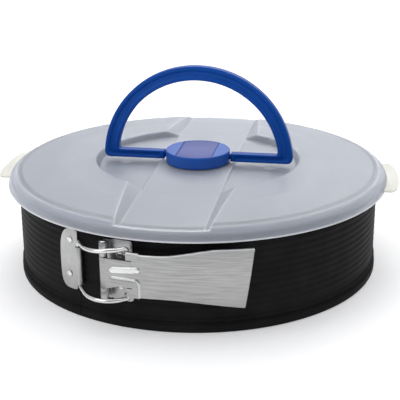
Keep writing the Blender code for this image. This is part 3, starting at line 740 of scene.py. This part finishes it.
UPPER_FOLD = ((FOLD_AT, 47.0 * MM), (FOLD_AT, 52.5 * MM))


def near_segment(s, z, start, end):
    """Distance of a point on the blade from a segment."""
    point, first, second = Vector((s, z)), Vector(start), Vector(end)
    run = second - first
    share = clamp((point - first).dot(run) / run.length_squared)
    return (point - first - run * share).length


def pill_share(s, z):
    """How much of the pill's rise a point has: a ramp that faces up, with a short wall round it."""
    edge = 1 - near_segment(s, z, PILL_START, PILL_END) / PILL_HALF
    share = (s - PILL_START[0]) / (PILL_END[0] - PILL_START[0])
    lift = (z - mix(PILL_START[1], PILL_END[1], share)) / PILL_HALF
    return smooth(edge / 0.4) * (0.7 - 0.3 * lift)


def fold_distance(s, z):
    """Distance from the thin embossed line, which runs along the tongue and turns down."""
    corner = (FOLD_AT - FOLD_BEND, FOLD_Z - FOLD_BEND)
    if s > corner[0] and z > corner[1]:
        return abs(hypot(s - corner[0], z - corner[1]) - FOLD_BEND)
    return min(near_segment(s, z, (FOLD_START, FOLD_Z), (corner[0], FOLD_Z)),
               near_segment(s, z, (FOLD_AT, corner[1]), (FOLD_AT, FOLD_LOW)))


def blade_relief(s, z):
    """How far the pressed features stand out of the blade."""
    pill = PILL_RISE * pill_share(s, z)
    line = 0.7 * MM * smooth(1 - fold_distance(s, z) / (1.3 * MM))
    upper = 0.3 * MM * smooth(1 - near_segment(s, z, *UPPER_FOLD) / (1.0 * MM))
    lines = ROLL_DEPTH * cos(tau * z / ROLL_PITCH) * smooth((s - PADDLE_AT) / (3 * MM))
    bow = BLADE_BOW * smooth((s - PADDLE_AT) / (12 * MM)) * ((z - BLADE_Z) / NECK_HALF) ** 2
    return max(pill, line, upper) + lines - bow


def blade_half(s, length, side):
    """Half width of the blade above (+1) or below (-1) its middle."""
    share = s / length
    flare = smooth((share - 0.38) / 0.44) if side > 0 else max((share - 0.5) / 0.5, 0.0) ** 1.3
    half = mix(NECK_HALF, PADDLE_HALF, flare)
    half += 0.7 * MM * smooth((25.5 * MM - s) / MM) - (0.0 if side > 0 else 0.4 * MM)
    left = max(TIP_CORNER - (length - s), 0.0)
    return half - TIP_CORNER + sqrt(max(TIP_CORNER ** 2 - left ** 2, 0.0))


def painted_highlight(s, z, edges):
    """Share of painted highlight at a point: on the pill, the fold and the top edge."""
    highlight = 0.95 * smooth(1.6 * pill_share(s, z))
    highlight = max(highlight, 0.6 * smooth(1 - fold_distance(s, z) / (0.9 * MM)))
    return max(highlight, smooth(1 - (edges[1] - z) / (1.2 * MM)) * smooth((s - EARS_AT) / MM))


def make_blade():
    center, radius, length = blade_circle()
    tongue = spread(0.0, EARS_AT, 22) + spread(EARS_AT, SLIT_END, 6)[1:]
    rest = spread(SLIT_END, 28.0 * MM, 16) + spread(28.0 * MM, length - TIP_CORNER, 60)[1:]
    tip = [length - TIP_CORNER * (1 - sin(t)) for t in spread(0.0, pi / 2, 6)][1:]

    def point(s, z):
        share = (z - BLADE_Z) / PADDLE_HALF
        slid = s + TIP_LEAN * share * smooth((s / length - 0.6) / 0.4)
        angle = PIVOT_AZ + slid / radius
        return center + polar(radius + blade_relief(s, z), angle, z)

    def patch(bm, stations, edges):
        """A grid over the stations; edges gives the lowest and highest z at each."""
        shine = bm.verts.layers.float.get("painted_highlight") or bm.verts.layers.float.new("painted_highlight")
        columns = []
        for s in stations:
            column = []
            for z in spread(*edges(s), 72):
                vert = bm.verts.new(point(s, z))
                # painted highlight share of each point of the blade
                vert[shine] = painted_highlight(s, z, outer(s))
                column.append(vert)
            columns.append(column)
        for one, two in zip(columns, columns[1:]):
            for i in range(len(one) - 1):
                bm.faces.new((one[i], two[i], two[i + 1], one[i + 1]))

    def outer(s):
        return BLADE_Z - blade_half(s, length, -1), BLADE_Z + blade_half(s, length, 1)

    def tongue_edges(s):
        taper = clamp((s - 2.0 * MM) / (10.0 * MM))
        return LATCH_Z - TONGUE_HALF + TONGUE_TAPER * taper, LATCH_Z + TONGUE_HALF

    bm = bmesh.new()
    patch(bm, tongue, tongue_edges)
    patch(bm, rest + tip, outer)
    sheets = [sheet_from(bm, "blade_sheet", LEVER_T, 0.3 * MM)]
    for side in (1, -1):
        bm = bmesh.new()
        edge = tongue_edges(EARS_AT)[side > 0] + side * SLIT
        rim = outer(EARS_AT)[side > 0]
        patch(bm, spread(EARS_AT, SLIT_END + 0.1 * MM, 6), lambda s: sorted((edge, rim)))
        sheets.append(sheet_from(bm, "ear_sheet", LEVER_T, 0.3 * MM))
    return sheets


def make_lever():
    """Blade hugging the band: a narrow tongue, two ears and a flared paddle."""
    parts = make_blade()
    line = [(2.5 * MM, CURL_R), (1.0 * MM, CURL_R)] + arc(CURL_R, 90, 395, 28)
    parts.append(ribbon("lever_knuckle", line, CURL_T, -TONGUE_HALF, TONGUE_HALF, PIVOT_AZ,
                        PIVOT_R))
    u, v = EAR_WIDTH / 2, EAR_DEPTH / 2
    outline = rounded([(-u, -v), (u, -v), (u, v), (-u, v)], 1.6 * MM, steps=5)
    for side in (1, -1):
        middle = polar(WIRE_R + 0.3 * MM, WIRE_AZ, BLADE_Z + side * EAR_HALF)
        turn = Matrix.Translation(middle) @ Matrix.Rotation(WIRE_AZ, 4, "Z")
        parts.append(prism("ear", outline, -LEVER_T / 2, LEVER_T / 2, turn, 0.2 * MM))
    place(joined("lever", parts, BRUSHED), "lever", "latch_lever")


def bail_route():
    """The wire: one run through the keeper's curl and two bowed arms to the ears."""
    bend = 2.0 * MM
    share = 1 - sqrt(0.5)
    halves = []
    for side, (keeper_half, ear_half) in ARMS.items():
        arm = [polar(radius * MM, radians(azimuth), mix(keeper_half, ear_half, clamp(i / 5)))
               for i, (radius, azimuth) in enumerate(ARM_PLAN)]
        first, last = arm[0], arm[-1]
        into = (arm[1] - first).normalized()
        out = (arm[-2] - last).normalized()
        head = [first - UP * bend, first - UP * bend * share + into * bend * share,
                first + into * bend]
        tail = [last + out * bend, last + (out - UP) * bend * share, last - UP * bend]
        ear_face = side * (BLADE_Z - WIRE_Z) + EAR_HALF + LEVER_T / 2
        stop = Vector((last.x, last.y, ear_face + GAP))
        line = through(head + arm[1:-1] + tail, 5) + [stop]
        halves.append([Vector((p.x, p.y, WIRE_Z + side * p.z)) for p in line])
    return halves[0][::-1] + halves[1]


def make_bail():
    curve = bpy.data.curves.new("bail_curve", "CURVE")
    curve.dimensions = "3D"
    curve.bevel_depth = WIRE
    curve.bevel_resolution = 6
    curve.use_fill_caps = True
    route = bail_route()
    spline = curve.splines.new("POLY")
    spline.points.add(len(route) - 1)
    for point, spot in zip(spline.points, route):
        point.co = (*spot, 1.0)
    wire = new_object("bail_wire", curve)
    place(joined("bail", [wire], BRIGHT), "bail", "wire_bail")


# ---- lid

CREASE = 0.35 * MM  # half width of the eased creases


def soften(points):
    return rounded([(r * MM, z * MM) for r, z in points], 1.1 * MM, steps=4, closed=False)


TOP_LINE = soften(LID_PROFILE)
UNDER_LINE = soften([(8.0, 70.4)] + inset(LID_PROFILE, 1.0)[1:-1] + [(136.2, 63.55)])
# Radius and height of the underside of the rib that locates the lid
RIB_LINE = [(r * MM, z * MM) for r, z in [(126.6, 90.0), (126.7, 63.8), (127.9, 63.8),
                                          (127.95, 66.8), (129.95, 66.8), (130.05, 90.0)]]
# Extra rings of vertices round the strap's end and above the lower edge, mm
TOP_RINGS = (133.3, 133.7, 134.1, 134.5, 134.9, 136.85, 137.03)
UNDER_RINGS = (132.8, 133.05, 133.15, 133.5)
EDGE_Z = 63.6 * MM  # the painted highlight line along the skirt's lower edge
TURN_R = 131.2 * MM  # where the lid's top turns down into the skirt


def height_on(line, radius):
    """Height of a line of (radius, height) points at a radius."""
    for (r0, z0), (r1, z1) in zip(line, line[1:]):
        if radius <= r1:
            return mix(z0, z1, max((radius - r0) / (r1 - r0), 0.0)) if r1 > r0 else z1
    return line[-1][1]


def eased_min(first, second):
    """The lower of two heights, eased where they meet."""
    reach = 0.3 * MM
    share = max(reach - abs(first - second), 0.0) / reach
    return min(first, second) - share * share * reach / 4


def shoulder(y):
    """Half width of the trough beside the strap."""
    share = (abs(y) - RECESS_R) / (STRAP_END_R - RECESS_R)
    return mix(SHOULDER_NEAR, SHOULDER_FAR, share)


def lid_height(x, y, under):
    radius = hypot(x, y)
    line = UNDER_LINE if under else TOP_LINE
    dome = height_on(line, radius)
    sheet = LID_T if under else 0.0
    edge = STRAP_END_R - sheet
    trough = shoulder(y)
    if radius < edge and abs(x) < trough + 6 * MM:
        floor = STRAP_Z - STRAP_DROP * y * y - sheet
        beside = max(abs(x) - STRAP_HALF, 0.0)
        rise = height_on(line, max(radius, RECESS_R + 2 * MM)) - floor
        wall = floor + max(rise, 0.3 * MM) * beside / (trough - STRAP_HALF)
        ridge = floor - beside * (STRAP_Z - RECESS_Z) / (STRAP_FOOT - STRAP_HALF)
        dome = -eased_min(-eased_min(dome, wall), -ridge)
    if not under and abs(x) < trough + MM:
        dome += BEAD_RISE * smooth(1 - abs(radius - STRAP_END_R) / (0.8 * MM))
    if under and RIB_LINE[0][0] < radius < RIB_LINE[-1][0]:
        dome = min(dome, height_on(RIB_LINE, radius))
    return dome


def lid_rings():
    """Radii of the rings of vertices on the top and on the underside."""
    fill = spread(LID_HOLE_R, 70.0 * MM, 14) + spread(76.0 * MM, 126.0 * MM, 16)
    top = [p[0] for p in TOP_LINE] + fill + [r * MM for r in TOP_RINGS]
    under = [p[0] for p in UNDER_LINE + RIB_LINE] + fill + [r * MM for r in UNDER_RINGS]
    return [sorted({round(radius, 7) for radius in radii}) for radii in (top, under)]


def crease_highlight_share(x, y, z):
    """How much painted highlight a point of the top gets, on the creases and edges that catch the
    light.
    """
    radius = hypot(x, y)
    beside = abs(x) > shoulder(y)
    marks = [(abs(z - EDGE_Z), 1.4 * MM, 1.0)]  # distance, half width and strength
    if beside:
        marks.append((abs(radius - RECESS_R), 1.2 * MM, 0.2))
        marks.append((abs(radius - TURN_R), 1.8 * MM, 0.3))
    if radius < STRAP_END_R + MM:
        marks.append((abs(abs(x) - STRAP_HALF), 0.6 * MM, 0.45))
        if radius > RECESS_R - MM:
            marks.append((abs(abs(x) - shoulder(y)), 0.6 * MM, 0.65))
    if not beside:
        marks.append((abs(radius - STRAP_END_R), 0.9 * MM, 1.0))
    return max(strength * smooth(1.0 - distance / width) for distance, width, strength in marks)


def lid_shell():
    steps = 288
    top, under = lid_rings()
    bm = bmesh.new()
    loops = []
    for radii, mark in ((top, 1.0), (under[::-1], -1.0)):  # the sign tells the sides apart
        for radius in radii:
            loops.append([bm.verts.new(polar(radius, tau * i / steps, mark))
                          for i in range(steps)])
    skin(bm, loops, closed=True)
    cuts = []
    for side in (1, -1):
        for edge in (STRAP_HALF, STRAP_FOOT):
            for shift in (-CREASE, 0.0, CREASE):
                cuts.append(((side * (edge + shift), 0, 0), (1, 0, 0)))
        for end in (1, -1):
            near = Vector((side * SHOULDER_NEAR, end * RECESS_R, 0))
            far = Vector((side * SHOULDER_FAR, end * STRAP_END_R, 0))
            run = (far - near).normalized()
            normal = Vector((run.y, -run.x, 0))
            for shift in (-2 * CREASE, -CREASE, 0.0, CREASE):
                cuts.append((near + normal * shift, normal))
    for spot, normal in cuts:
        slice_mesh(bm, spot, normal, 2e-6)
    crease_highlight = bm.verts.layers.float.new("crease_highlight")
    for vert in bm.verts:
        x, y, mark = vert.co
        vert.co.z = lid_height(x, y, mark < 0)
        if mark > 0:
            # painted highlight share for each point of the top
            vert[crease_highlight] = crease_highlight_share(x, y, vert.co.z)
    return object_from(bm, "lid_shell_surface")


def make_pip(side):
    """A low round boss in the recess, where the plastic was let into the mould."""
    outline = [(0.0, PIP_RISE), (0.6 * PIP_R, 0.8 * PIP_RISE), (PIP_R, 0.0),
               (PIP_R, -LID_T / 2), (0.0, -LID_T / 2)]
    pip = turned("pip", outline, steps=32)
    pip.location = (side * PIP_AT[0], PIP_AT[1], RECESS_Z)
    # a painted highlight on the boss
    mark_all(pip, "crease_highlight", 0.6)
    return pip


def tab_outline(side):
    """A lip outside the skirt: a superellipse in azimuth and radius."""
    roundness = 2 / 5
    outline = []
    for angle in spread(0.0, pi, 48):
        across = copysign(abs(cos(angle)) ** roundness, cos(angle))
        radius = mix(TAB_ROOT_R, TAB_R, abs(sin(angle)) ** roundness)
        azimuth = side * pi / 2 + mix(TAB_SHORT_AZ, TAB_AZ, (1 + across) / 2)
        outline.append(polar(radius, azimuth)[:2])
    inner = [polar(TAB_ROOT_R, side * pi / 2 + azimuth)[:2]
             for azimuth in spread(TAB_SHORT_AZ, TAB_AZ, 16)[1:-1]]
    return outline + inner


def make_lid():
    parts = [lid_shell()]
    for side in (1, -1):
        parts.append(make_pip(side))
        tab = prism("tab", tab_outline(side), TAB_Z - TAB_T / 2, TAB_Z + TAB_T / 2,
                    ease=0.3 * MM)
        # the tabs are marked for their painted light
        mark_all(tab, "rim", 1.0)
        parts.append(tab)
    place(joined("lid_shell", parts, MILKY, angle=50.0), "lid", "lid")


# ---- hub and handle

def strip_outline(half, radius):
    """A strip with parallel sides and round ends, cut from a circle."""
    start = degrees(acos(half / radius))
    return (arc(radius, start, 180 - start, 20) + arc(radius, 180 + start, 360 - start, 20))


def make_hub():
    outline = [(SCREW_R + GAP, SCREW_HEAD_Z), (SCREW_WELL_R, SCREW_HEAD_Z),
               (SCREW_WELL_R, HUB_TOP), (HUB_R, HUB_TOP), (HUB_R, HUB_BOTTOM),
               (LID_HOLE_R - GAP, HUB_BOTTOM),
               (LID_HOLE_R - GAP, RETAINER_TOP + GAP), (SCREW_R + GAP, RETAINER_TOP + GAP)]
    disc = turned("hub_turning", outline, ease=0.9 * MM)
    seat = strip_outline(CAP_HALF + CAP_GAP, HUB_R - CAP_RIM)
    cutters = [cut(disc, prism("hub_slot", seat, CAP_FLOOR, HUB_TOP + MM))]
    for side in (1, -1):
        bore = rod("hub_bore", TRUNNION + GAP, (side * 17.4 * MM, 0, AXIS_Z),
                   (side * 30 * MM, 0, AXIS_Z))
        cutters.append(cut(disc, bore))
    place(joined("hub_disc", [disc], HUB_BLUE_PAINTED_LIGHTER, cutters), "lid", "hub_body")


def make_hub_strip():
    outline = strip_outline(CAP_HALF, HUB_R - CAP_RIM - CAP_GAP)
    strip = prism("strip_block", outline, CAP_FLOOR + GAP, HUB_TOP - 0.05 * MM, ease=0.25 * MM)
    place(joined("hub_strip", [strip], CAP_BLUE_PAINTED_SHEEN), "lid", "hub_cap")


def make_hub_fixings():
    low, top = SCREW_HEAD_Z + GAP, SCREW_HEAD_Z + GAP + SCREW_HEAD_T
    ease = 0.8 * MM
    screw = turned("screw_turning", [
        (0.0, top), (SCREW_HEAD_R - ease, top), (SCREW_HEAD_R, top - ease), (SCREW_HEAD_R, low),
        (SCREW_R, low), (SCREW_R, SCREW_END_Z), (0.0, SCREW_END_Z)], steps=48, ease=0.3 * MM)
    place(joined("hub_bolt", [screw], RIVET), "lid", "hub_screw")
    foot = RETAINER_TOP - RETAINER_T
    washer = turned("washer_turning", [
        (SCREW_R + GAP, RETAINER_TOP), (RETAINER_R, RETAINER_TOP), (RETAINER_R, foot + 0.6 * MM),
        (RETAINER_R - RETAINER_EDGE, foot), (SCREW_R + GAP, foot)], steps=96, ease=0.4 * MM)
    place(joined("hub_washer", [washer], BLUE), "lid", "hub_retainer")


CHANNEL_DEPTH = 1.1 * MM  # recess in both faces of the handle
CHANNEL_START = 3.4 * MM  # plain length left at each bar's end


def handle_pairs():
    """Inner and outer edge points from the right bar's end to the top of the bow."""
    low, high = AXIS_Z - BAR_HALF, AXIS_Z + BAR_HALF
    ease = 2.5 * MM
    meet = asin((high - BOW_Z) / BOW_IN)
    meet_x = BOW_IN * cos(meet)
    bar = [BAR_END, BAR_END + 0.12 * MM, BAR_END + 0.4 * MM, BAR_END + MM]
    bar += [BAR_END + CHANNEL_START + step * MM for step in (0.0, 0.15, 0.4, 0.8, 1.2)]
    bar += spread(bar[-1], meet_x - ease, 16)[1:]
    pairs = [(Vector((u, high)), Vector((u, low))) for u in bar]
    turn = meet + ease / BOW_IN
    inner = rounded([(0.0, high), (meet_x, high), (BOW_IN * cos(meet + 0.2),
                     BOW_Z + BOW_IN * sin(meet + 0.2))], ease, steps=12, closed=False)[1:-1]
    start = degrees(asin((low + CORNER_R - BOW_Z) / BOW_OUT))
    outer = [(meet_x - ease, low)] + arc(CORNER_R, -90, -12, 12, (CORNER_X, low + CORNER_R))
    outer += arc(BOW_OUT, start, degrees(turn), 4, (0.0, BOW_Z))
    pairs += list(zip(inner, resampled(outer, len(inner) - 1)))[1:]
    center = Vector((0, BOW_Z))
    for angle in spread(turn, pi / 2, 56)[1:]:
        reach = Vector((cos(angle), sin(angle)))
        pairs.append((center + reach * BOW_IN, center + reach * BOW_OUT))
    return pairs


def handle_section(width, shrink, channel):
    """Outline across the handle: distance from the inner edge, and depth."""
    half = HANDLE_T / 2
    middle, reach = width / 2, width * 0.24 * channel + 0.05 * MM
    depth = CHANNEL_DEPTH * min(channel * 1.4, 1.0)
    slope = 0.35 * reach
    face = [(0.0, half), (middle - reach, half), (middle - reach + slope, half - depth),
            (middle + reach - slope, half - depth), (middle + reach, half), (width, half)]
    face += [(across, -y) for across, y in face[::-1]]
    result = rounded([(across + MM, y) for across, y in face], 0.9 * MM)  # clear of the axis
    inner, outer = MM + shrink, MM + width - shrink
    return [(clamp(p.x, inner, outer) - MM, clamp(p.y, shrink - half, half - shrink))
            for p in result]


def make_handle():
    ends = [0.45 * MM, 0.2 * MM, 0.04 * MM]  # how much the bar's end is eased, loop by loop
    loops = []
    pairs = handle_pairs()
    for i, (inner, outer) in enumerate(pairs):
        width = (outer - inner).length
        reach = (outer - inner) / width
        shrink = ends[i] if i < len(ends) else 0.0
        run = inner.x - BAR_END - CHANNEL_START if inner.y < AXIS_Z + BAR_HALF + MM else 1.0
        channel = sqrt(1 - (1 - clamp(run / (1.2 * MM))) ** 2)
        loop = []
        for across, depth in handle_section(width, shrink, channel):
            spot = inner + reach * across
            loop.append((spot.x, depth, spot.y))
        loops.append(loop)
    mirror = [[(-x, y, z) for x, y, z in loop] for loop in loops[-2::-1]]
    parts = [loft("handle_bow", loops + mirror)]
    for side in (1, -1):
        parts.append(rod("trunnion", TRUNNION, (side * 17.9 * MM, 0, AXIS_Z),
                         (side * (BAR_END + 4 * MM), 0, AXIS_Z), ease=0.3 * MM))
    place(joined("bow_handle", parts, BLUE, angle=40.0), "handle", "carry_handle")


# ---- studio

CAMERA_AT = Vector((0.11612, -0.65854, 0.28143))
CAMERA_TURN, CAMERA_TILT, CAMERA_ROLL = (radians(a) for a in (9.885, -19.675, -0.334))
CAMERA_LENS = 85.805  # mm, on the default 36 mm sensor


def make_camera():
    data = bpy.data.cameras.new("camera")
    data.lens = CAMERA_LENS
    camera = new_object("camera", data)
    aim = (Matrix.Rotation(CAMERA_TURN, 4, "Z")
           @ Matrix.Rotation(pi / 2 + CAMERA_TILT, 4, "X")
           @ Matrix.Rotation(CAMERA_ROLL, 4, "Z"))
    camera.matrix_world = Matrix.Translation(CAMERA_AT) @ aim
    scene.camera = camera


# Place of each soft box, its side in metres and its power in watts
LIGHTS = {"key_box": ((-1.0, -1.0, 1.0), 1.0, 5.0),
          "top_box": ((0.0, 0.6, 1.8), 2.4, 12.5),
          "back_box": ((0.1, 1.7, 1.3), 1.8, 13.0)}


def make_light(name, spot, size, watts):
    """A soft box that faces the middle of the pan."""
    data = bpy.data.lights.new(name, "AREA")
    data.size = size
    data.energy = watts
    light = new_object(name, data)
    aim = (Vector((0.0, 0.0, 0.05)) - Vector(spot)).to_track_quat("-Z", "Y")
    light.matrix_world = Matrix.Translation(spot) @ aim.to_matrix().to_4x4()


FLOOR_GLOW = 0.20  # the paper's own light, which keeps it near white


def make_floor():
    bm = bmesh.new()
    bmesh.ops.create_circle(bm, cap_ends=True, radius=6.0, segments=64)
    floor = object_from(bm, "floor")
    floor.location.z = -0.0002
    white, _, shader = new_material("floor_paper")
    set_sockets(shader, Base_Color=(0.93, 0.93, 0.93, 1.0), Roughness=0.9,
                Specular_IOR_Level=0.1, Emission_Color=(1.0, 1.0, 1.0, 1.0),
                Emission_Strength=FLOOR_GLOW)
    floor.data.materials.append(white)


def toward(tree, direction, start, first, end, second):
    """A colour that changes with how closely the view runs along a direction."""
    coords = add_node(tree, "TexCoord")
    dot = tree.nodes.new("ShaderNodeVectorMath")
    dot.operation = "DOT_PRODUCT"
    dot.inputs[1].default_value = direction
    tree.links.new(coords.outputs["Generated"], dot.inputs[0])
    return ramp_node(tree, dot.outputs["Value"], first, second, start, end)


def make_world():
    """A bright tent, darker near the horizon, most of all behind the camera."""
    world = bpy.data.worlds.new("studio")
    scene.world = world
    world.use_nodes = True
    tree = world.node_tree
    front = toward(tree, (0.17, -0.98, 0.0), 0.55, (1.0, 1.0, 1.0), 0.92, (0.17, 0.195, 0.30))
    level = toward(tree, (0.0, 0.0, 1.0), 0.08, (0.35, 0.36, 0.39), 0.42, (0.99, 0.99, 1.0))
    both = mix_node(tree, 1.0, front, level, "MULTIPLY")
    set_sockets(tree.nodes["Background"], Color=both, Strength=0.82)


def make_studio():
    make_world()
    for name, light in LIGHTS.items():
        make_light(name, *light)
    scene.view_settings.view_transform = "Standard"
    make_floor()


make_camera()
make_studio()
make_pan_base()
make_band("left_band", -1, "ring_left_half")
make_band("right_band", 1, "ring_right_half")
make_keeper()
make_bracket()
make_pin()
make_lever()
make_bail()
for level in ("upper", "lower"):
    make_rivet("keeper", level, KEEPER_RIVETS, "ring_left")
    make_rivet("bracket", level, BRACKET_RIVETS, "ring_right")
make_lid()
make_hub()
make_hub_strip()
make_hub_fixings()
make_handle()
